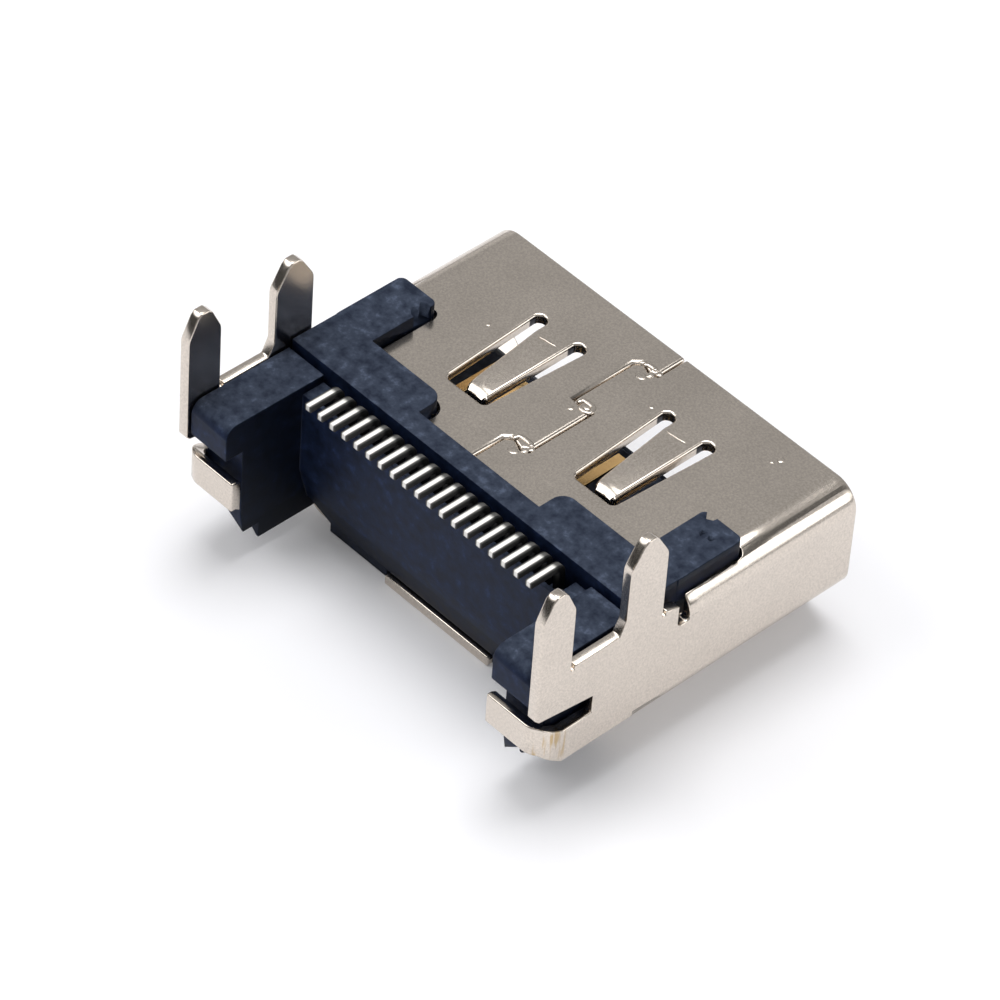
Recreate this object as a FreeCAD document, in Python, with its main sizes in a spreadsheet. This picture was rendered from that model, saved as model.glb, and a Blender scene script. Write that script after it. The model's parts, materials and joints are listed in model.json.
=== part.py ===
import FreeCAD, Part
import math
import os
import Sketcher

# HDMI receptacle for a circuit board, lying on the flat wall of its shell with the four legs up.
# X runs across the socket, Y from the mouth to the solder tails, Z up from the resting face.
# Every piece is drawn with its Y measured from the mouth, and its Placement then centres the part.

SIZES = {
    # folded sheet shell
    "overall_depth": 12.23,
    "shell_half": 7.35,
    "shell_height": 5.25,
    "gauge": 0.35,
    "roll_radius": 0.85,
    "bevel_height": 1.83,
    "floor_flat": 11.20,
    "bevel_radius": 0.60,
    "roof_depth": 7.60,
    "floor_depth": 8.45,
    "floor_tab_half": 2.15,
    "floor_tab_length": 0.48,
    # relief cuts and legs on each side wall
    "relief_front": 6.47,
    "relief_width": 0.47,
    "relief_drop": 0.93,
    "shelf_length": 0.65,
    "corner_notch": 0.14,
    "shelf_rise": 0.15,
    "gusset_width": 0.22,
    "gusset_rise": 0.45,
    "leg_reach": 3.25,
    "leg_shoulder": 2.42,
    "leg_tip_flat": 0.40,
    "leg_round": 0.50,
    "front_leg_width": 1.40,
    "rear_leg_width": 1.22,
    # strip that wraps round the rear corner
    "strip_top": 3.05,
    "strip_slot_length": 2.00,
    "strip_slot_height": 0.64,
    "strip_setback": 0.18,
    "tab_inner_half": 5.25,
    "tab_low": 2.40,
    "tab_high": 3.45,
    "tab_bend": 0.62,
    # spring tongues in the two flat walls
    "spring_middle": 2.62,
    "spring_front": 2.10,
    "spring_rear": 5.75,
    "window_front_half": 1.03,
    "window_rear_half": 0.80,
    "end_radius": 0.21,
    "spring_root_half": 0.58,
    "spring_tip_half": 0.40,
    "spring_crease": 2.45,
    "spring_tip": 5.36,
    "spring_drop": 0.28,
    # seam where the two ends of the sheet lock together
    "seam_gap": 0.06,
    "seam_mouth_offset": 0.43,
    "seam_key_offset": 0.40,
    "seam_back_offset": 0.36,
    "seam_rear_offset": 0.50,
    "seam_first_lock": 1.17,
    "seam_middle": 3.65,
    "seam_second_lock": 6.10,
    "seam_hook": 0.22,
    "seam_lean": 0.12,
    # main insulator
    "fit_gap": 0.05,
    "cavity_depth": 7.20,
    "bar_length": 0.75,
    "standoff": 0.45,
    "bump_inner": 2.45,
    "bump_length": 0.90,
    "bump_radius": 0.45,
    "arm_length": 3.40,
    "arm_width": 1.52,
    "arm_inset": 0.38,
    "arm_corner": 0.22,
    "blade_half_width": 5.70,
    "blade_low": 1.70,
    "blade_thickness": 1.90,
    "blade_front": 2.35,
    "blade_chamfer": 0.35,
    # rear block
    "wall_depth": 0.90,
    "plate_rise": 0.20,
    "ledge_drop": 0.08,
    "rim": 0.16,
    "crease_height": 2.30,
    "lip_depth": 0.40,
    "lip_height": 0.45,
    "lip_half": 4.62,
    "lip_floor": 0.12,
    "trough_half": 4.86,
    "trough_drop": 0.47,
    "wing_inner": 5.45,
    "wing_overhang": 0.07,
    "wing_floor": 0.50,
    "toe_setback": 1.25,
    "heel_setback": 0.65,
    "wing_heel_height": 1.06,
    "wing_bevel_foot": 5.55,
    "wing_round": 0.42,
    "head_foot": 4.25,
    # contacts
    "contact_spacing": 0.50,
    "contact_gauge": 0.22,
    "contact_width": 0.26,
    "strip_width": 0.34,
    "strip_front": 2.90,
    "strip_proud": 0.05,
    "riser_gap": 0.28,
    "tail_rise": 0.58,
    "tail_reach": 0.68,
    "slot_gap": 0.03,
    "bend_radius": 0.10,
}
CONTACTS = 19
TOP_STRIPS = CONTACTS // 2

# Places that follow from the sizes above, each a sum of lengths.
PLACES = {
    "arm_outer": "shell_half - arm_inset",
    "arm_inner": "arm_outer - arm_width",
    "floor_tab_depth": "floor_depth + floor_tab_length",
    "relief_rear": "relief_front + relief_width",
    "front_leg_front": "relief_rear + shelf_length",
    "front_leg_rear": "front_leg_front + front_leg_width",
    "rear_leg_front": "overall_depth - rear_leg_width",
    "tab_rear": "overall_depth - strip_setback",
    "strip_slot_front": "tab_rear - strip_slot_length",
    "bar_front": "roof_depth + fit_gap",
    "bar_rear": "bar_front + bar_length",
    "bump_front": "roof_depth - bump_length",
    "arm_front": "roof_depth - arm_length",
    "wall_rear": "bar_rear + wall_depth",
    "trough_rear": "wall_rear - rim",
    "lip_rear": "bar_rear + lip_depth",
    "riser_front": "bar_rear + riser_gap",
    "riser_rear": "riser_front + contact_gauge",
    "tail_end": "wall_rear + tail_reach",
    "wing_rear": "tab_rear + wing_overhang",
    "wing_toe": "tab_rear - toe_setback",
    "wing_heel": "tab_rear - heel_setback",
}

doc = FreeCAD.newDocument("hdmi_socket")
sheet = doc.addObject("Spreadsheet::Sheet", "Sizes")
for row, (name, value) in enumerate(SIZES.items(), start=1):
    sheet.set("A%d" % row, name)
    sheet.set("B%d" % row, "%g" % value)
    sheet.setAlias("B%d" % row, name)
doc.recompute()


def size(name):
    """Read a driving dimension from the sheet, or add up a place that follows from them."""
    if name not in PLACES:
        return float(getattr(sheet, name))
    total = 0.0
    sign = 1.0
    for word in PLACES[name].split():
        if word in ("+", "-"):
            sign = 1.0 if word == "+" else -1.0
        else:
            total += sign * size(word)
    return total


def bound(text):
    """Write an expression in which every driving dimension is read from the sheet."""
    words = []
    word = ""
    for letter in text + " ":
        if letter.isalnum() or letter == "_":
            word += letter
            continue
        if word in PLACES:
            words.append("(" + bound(PLACES[word]) + ")")
        elif word in SIZES:
            words.append("Sizes." + word)
        else:
            words.append(word)
        words.append(letter)
        word = ""
    return "".join(words).strip()


def origin_item(body, role):
    """Find one of a body's own base planes or axes."""
    return next(item for item in body.Origin.OriginFeatures if item.Role == role)


def new_body(label):
    """Start a piece whose Y is measured from the mouth."""
    body = doc.addObject("PartDesign::Body", label)
    body.Label = label
    body.setExpression("Placement.Base.y", bound("-overall_depth / 2"))
    return body


def new_sketch(body, name, plane, offset=None):
    """Attach a sketch to a base plane, shifted along the plane's normal."""
    sketch = body.newObject("Sketcher::SketchObject", name)
    sketch.AttachmentSupport = (origin_item(body, plane), [""])
    sketch.MapMode = "FlatFace"
    if offset:
        sketch.setExpression("AttachmentOffset.Base.z", bound(offset))
    return sketch


def add_loop(sketch, points):
    """Close a polygon whose every corner is tied to expressions of the sheet."""
    first = sketch.GeometryCount
    count = len(points)
    ring = []
    for index in range(count):
        angle = 2 * math.pi * index / count
        ring.append(FreeCAD.Vector(10 * math.cos(angle), 10 * math.sin(angle), 0))
    for index in range(count):
        sketch.addGeometry(Part.LineSegment(ring[index], ring[(index + 1) % count]), False)
    rules = []
    for index in range(count):
        rules.append(Sketcher.Constraint("Coincident", first + index, 2, first + (index + 1) % count, 1))
    for index in range(count):
        rules.append(Sketcher.Constraint("DistanceX", -1, 1, first + index, 1, ring[index].x))
        rules.append(Sketcher.Constraint("DistanceY", -1, 1, first + index, 1, ring[index].y))
    start = sketch.ConstraintCount
    sketch.addConstraint(rules)
    for index, (across, along) in enumerate(points):
        place = start + count + 2 * index
        sketch.setExpression("Constraints[%d]" % place, bound(across))
        sketch.setExpression("Constraints[%d]" % (place + 1), bound(along))


def box_points(left, right, low, high):
    """Corners of a rectangle in a sketch."""
    return [(left, low), (right, low), (right, high), (left, high)]


def pad(body, name, sketch, length, reverse=False, middle=False):
    """Grow a sketch into a solid and check that it added material."""
    before = body.Shape.Volume if body.Tip else 0.0
    feature = body.newObject("PartDesign::Pad", name)
    feature.Profile = sketch
    feature.Reversed = reverse
    feature.Midplane = middle
    feature.setExpression("Length", bound(length))
    doc.recompute()
    if body.Shape.Volume <= before:
        raise RuntimeError("%s added nothing to %s" % (name, body.Label))
    return feature


def pocket(body, name, sketch, length, reverse=False, middle=False):
    """Cut a sketch out of a solid and check that it removed material."""
    before = body.Shape.Volume
    feature = body.newObject("PartDesign::Pocket", name)
    feature.Profile = sketch
    feature.Reversed = reverse
    feature.Midplane = middle
    feature.setExpression("Length", bound(length))
    doc.recompute()
    if body.Shape.Volume >= before:
        raise RuntimeError("%s cut nothing from %s" % (name, body.Label))
    return feature


def mirror(body, name, features, plane="YZ_Plane"):
    """Repeat features on the other side of a base plane."""
    feature = body.newObject("PartDesign::Mirrored", name)
    feature.Originals = features
    feature.MirrorPlane = (origin_item(body, plane), [""])
    body.Tip = feature
    doc.recompute()
    return feature


def repeat(body, name, features, gaps, spacing):
    """Repeat features across the socket, gaps + 1 times in all."""
    feature = body.newObject("PartDesign::LinearPattern", name)
    feature.Originals = features
    feature.Direction = (origin_item(body, "X_Axis"), [""])
    feature.Occurrences = gaps + 1
    feature.setExpression("Length", bound("%d * %s" % (gaps, spacing)))
    body.Tip = feature
    doc.recompute()
    return feature


def round_edges(body, name, radius, wanted):
    """Round the edges of the newest shape whose middle and direction satisfy the test."""
    base = body.Tip
    names = []
    for index, edge in enumerate(base.Shape.Edges, start=1):
        if edge.Curve.TypeId != "Part::GeomLine":
            continue
        middle = edge.valueAt((edge.FirstParameter + edge.LastParameter) / 2)
        along = edge.tangentAt(edge.FirstParameter)
        if wanted(middle, along, edge.Length):
            names.append("Edge%d" % index)
    if not names:
        raise RuntimeError("%s found no edge on %s" % (name, body.Label))
    feature = body.newObject("PartDesign::Fillet", name)
    feature.Base = (base, names)
    feature.setExpression("Radius", bound(radius))
    doc.recompute()
    return feature


def near(value, target):
    """Compare two coordinates within a hundredth of a millimetre."""
    return abs(value - target) < 0.01


def section_corners(inset):
    """Half widths and heights of the keyed section, set in from its outside by one distance."""
    run = "(shell_half - floor_flat / 2)"
    slant = "sqrt(%s ^ 2 + bevel_height ^ 2)" % run
    side = "(shell_half - (%s))" % inset
    roof = "(shell_height - (%s))" % inset
    foot_x = "(floor_flat / 2 + (%s) * (%s - %s) / bevel_height)" % (inset, run, slant)
    foot_z = "(bevel_height + (%s) * (%s - bevel_height) / %s)" % (inset, slant, run)
    return side, roof, foot_x, foot_z


def section_loop(inset):
    """Outline of the keyed section: full width at the board side, bevelled towards the floor."""
    side, roof, foot_x, foot_z = section_corners(inset)
    return [
        ("-" + side, roof),
        ("-" + side, foot_z),
        ("-" + foot_x, inset),
        (foot_x, inset),
        (side, foot_z),
        (side, roof),
    ]


def both_sides(points):
    """Complete a symmetric outline from the points of its right half, listed from the middle line."""
    left = [("-(%s)" % across, along) for across, along in reversed(points)]
    return points + left


# Shell: one folded and plated sheet.

def leg_points(front, width):
    """Outline of one board leg from its rear shoulder over the pointed tip to its front shoulder."""
    middle = "(%s + %s / 2)" % (front, width)
    shoulder = "shell_height + leg_shoulder"
    brow = "shell_height + leg_reach - leg_tip_flat / 3"
    tip = "shell_height + leg_reach"
    return [
        ("%s + %s" % (front, width), shoulder),
        (middle + " + leg_tip_flat * 0.7", brow),
        (middle + " + leg_tip_flat / 3", tip),
        (middle + " - leg_tip_flat / 3", tip),
        (middle + " - leg_tip_flat * 0.7", brow),
        (front, shoulder),
    ]


def side_wall_points():
    """Outline of the flat rear part of a side wall, with its strip, legs, shelf and notches."""
    bend = "tab_rear - tab_bend"
    above_bevel = "bevel_height + bevel_radius / 2"
    shelf = "shell_height + shelf_rise"
    notch = "shell_height"
    points = [
        ("relief_rear", above_bevel),
        ("floor_depth", above_bevel),
        ("floor_depth", "bevel_height"),
        (bend, "bevel_height"),
        (bend, "strip_top"),
        ("strip_slot_front", "strip_top"),
        ("strip_slot_front", "strip_top + strip_slot_height"),
        ("overall_depth - corner_notch", "head_foot - corner_notch * 2"),
        ("overall_depth", "head_foot - corner_notch"),
    ]
    points += leg_points("rear_leg_front", "rear_leg_width")
    points += [
        ("rear_leg_front", notch),
        ("rear_leg_front - corner_notch", notch),
        ("rear_leg_front - corner_notch", shelf),
        ("front_leg_rear + gusset_width", shelf),
        ("front_leg_rear", shelf + " + gusset_rise"),
    ]
    points += leg_points("front_leg_front", "front_leg_width")
    points += [
        ("front_leg_front", "shell_height - corner_notch"),
        ("front_leg_front - corner_notch", "shell_height - corner_notch"),
        ("front_leg_front - corner_notch", notch),
        ("relief_rear", "shell_height - corner_notch"),
    ]
    return points


def roof_cut_points():
    """Right half of what is cut from the board-side wall behind and around the insulator."""
    return [
        ("0", "roof_depth"),
        ("bump_inner - fit_gap", "roof_depth"),
        ("bump_inner - fit_gap", "bump_front - fit_gap"),
        ("arm_inner - fit_gap", "bump_front - fit_gap"),
        ("arm_inner - fit_gap", "arm_front - fit_gap"),
        ("arm_outer + fit_gap", "arm_front - fit_gap"),
        ("arm_outer + fit_gap", "relief_front"),
        ("2 * shell_half", "relief_front"),
        ("2 * shell_half", "floor_depth + gauge"),
        ("0", "floor_depth + gauge"),
    ]


def seam_points():
    """Ribbon along the seam: its left edge going back, then its right edge coming forward."""
    path = [("-seam_mouth_offset", "-gauge", 1)]
    for start, end, place in (
        ("-seam_mouth_offset", "seam_key_offset", "seam_first_lock"),
        ("-seam_back_offset", "seam_rear_offset", "seam_second_lock"),
    ):
        if path[1:]:
            path.append(("seam_key_offset", "seam_middle - seam_lean / 2", -1))
            path.append(("-seam_back_offset", "seam_middle + seam_lean / 2", -1))
        path.append((start, place + " - seam_lean / 2", 1))
        path.append((start + " + seam_hook", place + " + seam_lean / 2", 1))
        path.append((end + " - seam_hook", place + " - seam_lean", 1))
        path.append((end, place + " + seam_lean", 1))
    path.append(("seam_rear_offset", "roof_depth + gauge", 1))
    left = [(x + " - seam_gap / 2", "%s + %d * seam_gap / 2" % (y, turn)) for x, y, turn in path]
    right = [(x + " + seam_gap / 2", "%s - %d * seam_gap / 2" % (y, turn)) for x, y, turn in path]
    return left + right[::-1]


def add_springs(body, name, roof):
    """Cut two windows in a flat wall and leave a sprung tongue in each, bent into the cavity."""
    level = "shell_height" if roof else "0"
    inward = -1 if roof else 1
    window = new_sketch(body, name + "_window_outline", "XY_Plane", level)
    add_loop(window, [
        ("spring_middle - window_front_half", "spring_front - end_radius"),
        ("spring_middle + window_front_half", "spring_front - end_radius"),
        ("spring_middle + window_rear_half", "spring_rear"),
        ("spring_middle - window_rear_half", "spring_rear"),
    ])
    opened = pocket(body, name + "_window", window, "gauge", not roof)
    side = new_sketch(body, name + "_tongue_side", "YZ_Plane", "spring_middle - spring_root_half")
    near_face = level
    far_face = "%s + %d * gauge" % (level, inward)
    drop = " + %d * spring_drop" % inward
    add_loop(side, [
        ("spring_front - 2 * end_radius", near_face),
        ("spring_crease", near_face),
        ("spring_tip", near_face + drop),
        ("spring_tip", far_face + drop),
        ("spring_crease", far_face),
        ("spring_front - 2 * end_radius", far_face),
    ])
    tongue = pad(body, name + "_tongue", side, "2 * spring_root_half")
    taper = new_sketch(body, name + "_taper_outline", "XY_Plane", level)
    for sign in ("-", "+"):
        add_loop(taper, [
            ("spring_middle %s spring_root_half" % sign, "spring_crease"),
            ("spring_middle %s (spring_root_half + slot_gap)" % sign, "spring_tip + slot_gap"),
            ("spring_middle %s spring_tip_half" % sign, "spring_tip + slot_gap"),
        ])
    trimmed = pocket(body, name + "_taper", taper, "gauge + 2 * spring_drop", not roof)
    mirror(body, name + "_pair", [opened, tongue, trimmed])
    ends = (size("spring_front") - size("end_radius"), size("spring_rear"), size("spring_tip"))
    round_edges(body, name + "_ends", "end_radius",
                lambda middle, along, length: near(abs(along.z), 1)
                and abs(middle.z - size("shell_height") * roof) < 2 * size("gauge")
                and any(near(middle.y, end) for end in ends))


def make_shell():
    """Fold the shell: keyed tube, side walls with legs, wrapped strips, springs and seam."""
    body = new_body("shell")
    tube_ring = new_sketch(body, "tube_outline", "XZ_Plane")
    add_loop(tube_ring, section_loop("0"))
    pad(body, "tube", tube_ring, "floor_depth", True)
    half = size("shell_half")
    height = size("shell_height")
    round_edges(body, "rolled_corners", "roll_radius",
                lambda middle, along, length: near(abs(along.y), 1) and near(middle.z, height))
    round_edges(body, "bevel_corners", "bevel_radius",
                lambda middle, along, length: near(abs(along.y), 1) and middle.z < size("bevel_height") + 0.01)
    bore_ring = new_sketch(body, "bore_outline", "XZ_Plane")
    add_loop(bore_ring, section_loop("gauge"))
    pocket(body, "bore", bore_ring, "floor_depth")
    inner_side = half - size("gauge")
    round_edges(body, "inner_roll", "roll_radius - gauge",
                lambda middle, along, length: near(abs(along.y), 1) and near(abs(middle.x), inner_side)
                and near(middle.z, height - size("gauge")))
    roof_cut = new_sketch(body, "roof_cut_outline", "XY_Plane", "shell_height")
    add_loop(roof_cut, roof_cut_points())
    cleared = pocket(body, "roof_cut", roof_cut, "relief_drop")
    mirror(body, "roof_cut_pair", [cleared])
    bump_corner = (size("bump_inner") - size("fit_gap"), size("bump_front") - size("fit_gap"))
    round_edges(body, "bump_cut_corners", "bump_radius",
                lambda middle, along, length: near(abs(along.z), 1) and near(abs(middle.x), bump_corner[0])
                and near(middle.y, bump_corner[1]))
    arm_sides = (size("arm_outer") + size("fit_gap"), size("arm_inner") - size("fit_gap"))
    arm_end = size("arm_front") - size("fit_gap")
    round_edges(body, "arm_cut_corners", "arm_corner",
                lambda middle, along, length: near(abs(along.z), 1) and near(middle.y, arm_end)
                and (near(abs(middle.x), arm_sides[0]) or near(abs(middle.x), arm_sides[1])))
    wall_outline = new_sketch(body, "side_wall_outline", "YZ_Plane", "shell_half - gauge")
    add_loop(wall_outline, side_wall_points())
    wall = pad(body, "side_wall", wall_outline, "gauge")
    strip_outline = new_sketch(body, "strip_plan", "XY_Plane", "bevel_height")
    add_loop(strip_outline, [
        ("shell_half", "tab_rear - 2 * tab_bend"),
        ("shell_half", "tab_rear"),
        ("tab_inner_half", "tab_rear"),
        ("tab_inner_half", "tab_rear - gauge"),
        ("shell_half - gauge", "tab_rear - gauge"),
        ("shell_half - gauge", "tab_rear - 2 * tab_bend"),
    ])
    strip = pad(body, "strip", strip_outline, "tab_high - bevel_height")
    mirror(body, "side_wall_pair", [wall, strip])
    rear = size("tab_rear")
    round_edges(body, "strip_bend", "tab_bend",
                lambda middle, along, length: near(abs(along.z), 1) and near(abs(middle.x), half)
                and near(middle.y, rear))
    round_edges(body, "strip_bend_inside", "tab_bend - gauge",
                lambda middle, along, length: near(abs(along.z), 1) and near(abs(middle.x), inner_side)
                and near(middle.y, rear - size("gauge")))
    trim = new_sketch(body, "strip_trim_outline", "YZ_Plane")
    add_loop(trim, [
        ("tab_rear - 1.5 * tab_bend", "bevel_height - gauge"),
        ("tab_rear + gauge", "bevel_height - gauge"),
        ("tab_rear + gauge", "tab_low"),
        ("tab_rear - gauge / 2", "tab_low"),
        ("tab_rear - 1.5 * tab_bend", "bevel_height"),
    ])
    add_loop(trim, [
        ("tab_rear - 2.5 * tab_bend", "strip_top"),
        ("tab_rear - 1.5 * tab_bend", "strip_top"),
        ("tab_rear - gauge / 2", "tab_high"),
        ("tab_rear - gauge / 2", "tab_high + slot_gap"),
        ("tab_rear - 2.5 * tab_bend", "tab_high + slot_gap"),
    ])
    pocket(body, "strip_trim", trim, "4 * shell_half", False, True)
    floor_tab = new_sketch(body, "floor_tab_outline", "XY_Plane")
    add_loop(floor_tab, box_points("-floor_tab_half", "floor_tab_half", "floor_depth - gauge", "floor_tab_depth"))
    pad(body, "floor_tab", floor_tab, "gauge")
    add_springs(body, "roof_spring", True)
    add_springs(body, "floor_spring", False)
    seam = new_sketch(body, "seam_outline", "XY_Plane", "shell_height")
    add_loop(seam, seam_points())
    pocket(body, "seam", seam, "gauge")
    shoulder = height + size("leg_shoulder")
    round_edges(body, "leg_shoulders", "leg_round",
                lambda middle, along, length: near(abs(along.x), 1) and near(middle.z, shoulder))
    slot_floor = height - size("relief_drop")
    slot_sides = (size("relief_front"), size("relief_rear"))
    round_edges(body, "relief_round", "relief_width / 3",
                lambda middle, along, length: near(abs(along.x), 1) and near(middle.z, slot_floor)
                and (near(middle.y, slot_sides[0]) or near(middle.y, slot_sides[1])))
    return body


# Main insulator: the moulding inside the shell, with the contact blade and the board standoffs.

def make_insulator():
    """Mould the main insulator: rear block, blade, grooves for the contacts and standoff bar."""
    body = new_body("insulator")
    inset = "(gauge + fit_gap)"
    side, roof, foot_x, foot_z = section_corners(inset)
    corner = "(roll_radius - gauge)"
    block = new_sketch(body, "block_outline", "XZ_Plane", "-cavity_depth")
    add_loop(block, both_sides([
        (foot_x, inset),
        (side, foot_z),
        (side, "%s - %s" % (roof, corner)),
        ("%s - %s" % (side, corner), roof),
    ]))
    pad(body, "block", block, "bar_rear - cavity_depth", True)
    bar = new_sketch(body, "standoff_outline", "XY_Plane", roof)
    step = "relief_front + relief_width / 2"
    add_loop(bar, both_sides([
        ("bump_inner", "bar_front"),
        ("bump_inner", "bump_front"),
        ("arm_inner", "bump_front"),
        ("arm_inner", "arm_front"),
        ("arm_outer", "arm_front"),
        ("arm_outer", step),
        (side, step),
        (side, "bar_rear"),
    ]))
    pad(body, "standoff", bar, "standoff + gauge + fit_gap")
    for name, half, front, radius in (
        ("bump_corners", "bump_inner", "bump_front", "bump_radius"),
        ("arm_outer_corners", "arm_outer", "arm_front", "arm_corner"),
        ("arm_inner_corners", "arm_inner", "arm_front", "arm_corner"),
    ):
        corner_x = size(half)
        corner_y = size(front)
        round_edges(body, name, radius,
                    lambda middle, along, length: near(abs(along.z), 1) and near(abs(middle.x), corner_x)
                    and near(middle.y, corner_y))
    blade = new_sketch(body, "blade_outline", "XZ_Plane", "-blade_front")
    add_loop(blade, box_points("-blade_half_width", "blade_half_width", "blade_low",
                               "blade_low + blade_thickness"))
    pad(body, "blade", blade, "cavity_depth - blade_front + gauge", True)
    nose = size("blade_front")
    round_edges(body, "blade_nose", "blade_chamfer",
                lambda middle, along, length: near(abs(along.x), 1) and near(middle.y, nose))
    half = "(strip_width / 2 + slot_gap)"
    top_bed = "blade_low + blade_thickness + strip_proud - contact_gauge"
    low_bed = "blade_low - strip_proud"
    for name, gaps, low, high in (
        ("top", TOP_STRIPS - 1, top_bed, top_bed + " + contact_gauge + slot_gap"),
        ("low", CONTACTS - TOP_STRIPS - 1, low_bed + " - slot_gap", low_bed + " + contact_gauge"),
    ):
        outline = new_sketch(body, name + "_groove_outline", "XZ_Plane", "-bar_rear")
        middle = "-%d * contact_spacing" % gaps
        add_loop(outline, box_points("%s - %s" % (middle, half), "%s + %s" % (middle, half), low, high))
        groove = pocket(body, name + "_groove", outline, "bar_rear - strip_front + slot_gap", True)
        repeat(body, name + "_grooves", [groove], gaps, "2 * contact_spacing")
    return body


# Rear block: the second moulding, which carries the tails between two wings.

def make_rear_block():
    """Mould the rear block: central wall and lip, two wings, the tail trough and its slots."""
    body = new_body("rear_block")
    front = "(bar_rear + 2 * fit_gap)"
    top = "(shell_height + plate_rise)"
    centre = new_sketch(body, "centre_side", "YZ_Plane")
    add_loop(centre, [
        (front, "lip_floor"),
        ("lip_rear", "lip_floor"),
        ("lip_rear", "lip_height"),
        ("wall_rear", "crease_height"),
        ("wall_rear", top),
        (front, top),
    ])
    pad(body, "centre", centre, "2 * wing_inner + gauge", False, True)
    corner = new_sketch(body, "lip_corner_outline", "XZ_Plane", "-bar_rear")
    add_loop(corner, [
        ("lip_half", "-gauge"),
        ("lip_half", "lip_height"),
        ("shell_half", "lip_height + (shell_half - lip_half) * 0.7"),
        ("shell_half", "-gauge"),
    ])
    lip_corner = pocket(body, "lip_corner", corner, "overall_depth - bar_rear")
    mirror(body, "lip_corners", [lip_corner])
    tab_bed = new_sketch(body, "tab_bed_outline", "XZ_Plane", "-bar_rear")
    add_loop(tab_bed, box_points("-floor_tab_half - fit_gap", "floor_tab_half + fit_gap",
                                 "-gauge", "gauge + fit_gap"))
    pocket(body, "tab_bed", tab_bed, "overall_depth - bar_rear")
    wing_side = "(shell_half - gauge - fit_gap)"
    neck = "(tab_rear - gauge - 4 * fit_gap)"
    wing_outline = new_sketch(body, "wing_side_outline", "YZ_Plane", "wing_inner")
    add_loop(wing_outline, [
        (front, "wing_floor"),
        ("wing_toe", "wing_floor"),
        ("wing_heel", "wing_heel_height"),
        (neck, "(wing_heel_height + tab_low) / 2"),
        (neck, "head_foot"),
        ("wing_rear", "head_foot"),
        ("wing_rear", top),
        (front, top),
    ])
    wing = pad(body, "wing", wing_outline, wing_side + " - wing_inner")
    bevel = new_sketch(body, "wing_bevel_outline", "XZ_Plane", "-bar_rear")
    add_loop(bevel, [
        ("wing_bevel_foot", "wing_floor"),
        (wing_side, "bevel_height"),
        ("2 * shell_half", "bevel_height"),
        ("2 * shell_half", "-gauge"),
        ("wing_bevel_foot", "-gauge"),
    ])
    wing_bevel = pocket(body, "wing_bevel", bevel, "overall_depth - bar_rear")
    heel = new_sketch(body, "heel_bevel_outline", "XZ_Plane", "-wing_toe")
    add_loop(heel, [
        ("wing_inner", "wing_heel_height"),
        (wing_side, "tab_low"),
        ("2 * shell_half", "tab_low"),
        ("2 * shell_half", "-gauge"),
        ("wing_inner", "-gauge"),
    ])
    heel_bevel = pocket(body, "heel_bevel", heel, "overall_depth - wing_toe")
    mirror(body, "wings", [wing, wing_bevel, heel_bevel])
    rear = size("wing_rear")
    crown = size("shell_height") + size("plate_rise")
    round_edges(body, "wing_crown", "wing_round",
                lambda middle, along, length: near(abs(along.x), 1) and near(middle.y, rear)
                and near(middle.z, crown))
    ledge = new_sketch(body, "ledge_outline", "XY_Plane", top)
    add_loop(ledge, box_points("-wing_inner", "wing_inner", "bar_rear", "wall_rear + gauge"))
    pocket(body, "ledge", ledge, "plate_rise + ledge_drop")
    trough = new_sketch(body, "trough_outline", "XY_Plane", "shell_height - ledge_drop")
    add_loop(trough, box_points("-trough_half", "trough_half", "bar_rear", "trough_rear"))
    pocket(body, "trough", trough, "trough_drop")
    slot = new_sketch(body, "riser_slot_outline", "XY_Plane", top)
    half = "(contact_width / 2 + slot_gap)"
    add_loop(slot, box_points("-9 * contact_spacing - " + half, "-9 * contact_spacing + " + half,
                              "bar_rear", "riser_rear + slot_gap"))
    riser_slot = pocket(body, "riser_slot", slot, top + " - blade_low + strip_proud + slot_gap")
    repeat(body, "riser_slots", [riser_slot], CONTACTS - 1, "contact_spacing")
    return body


# Contacts: one bent strip each, lying in the blade, rising behind it and ending as a solder tail.

def make_contact(index):
    """Bend one contact; even numbers lie on the board side of the blade, odd ones below it."""
    body = new_body("contact_%02d" % (index + 1))
    body.setExpression("Placement.Base.x", bound("contact_spacing * %d" % (index - (CONTACTS - 1) // 2)))
    if index % 2 == 1:
        low = "blade_low + blade_thickness + strip_proud - contact_gauge"
    else:
        low = "blade_low - strip_proud"
    high = low + " + contact_gauge"
    tail_top = "shell_height + tail_rise"
    tail_low = tail_top + " - contact_gauge"
    side = new_sketch(body, "riser_side_%02d" % (index + 1), "YZ_Plane")
    add_loop(side, [
        ("strip_front + strip_width", low),
        ("riser_rear", low),
        ("riser_rear", tail_low),
        ("tail_end", tail_low),
        ("tail_end", tail_top),
        ("riser_front", tail_top),
        ("riser_front", high),
        ("strip_front + strip_width", high),
    ])
    pad(body, "riser_%02d" % (index + 1), side, "contact_width", False, True)
    strip = new_sketch(body, "strip_side_%02d" % (index + 1), "YZ_Plane")
    add_loop(strip, box_points("strip_front", "bar_rear", low, high))
    pad(body, "strip_%02d" % (index + 1), strip, "strip_width", False, True)
    riser = (size("riser_front"), size("riser_rear"))

    def is_bend(middle, along, which):
        """Say whether an edge across the strip is an outer or an inner corner of a bend."""
        if not near(abs(along.x), 1):
            return False
        foot = middle.z < size("shell_height")
        at_rear = near(middle.y, riser[1])
        at_front = near(middle.y, riser[0])
        if which == "outer":
            return (foot and at_rear) or (not foot and at_front)
        return (foot and at_front) or (not foot and at_rear)

    round_edges(body, "outer_bends_%02d" % (index + 1), "bend_radius + contact_gauge * 0.9",
                lambda middle, along, length: is_bend(middle, along, "outer"))
    round_edges(body, "inner_bends_%02d" % (index + 1), "bend_radius",
                lambda middle, along, length: is_bend(middle, along, "inner"))
    return body


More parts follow.
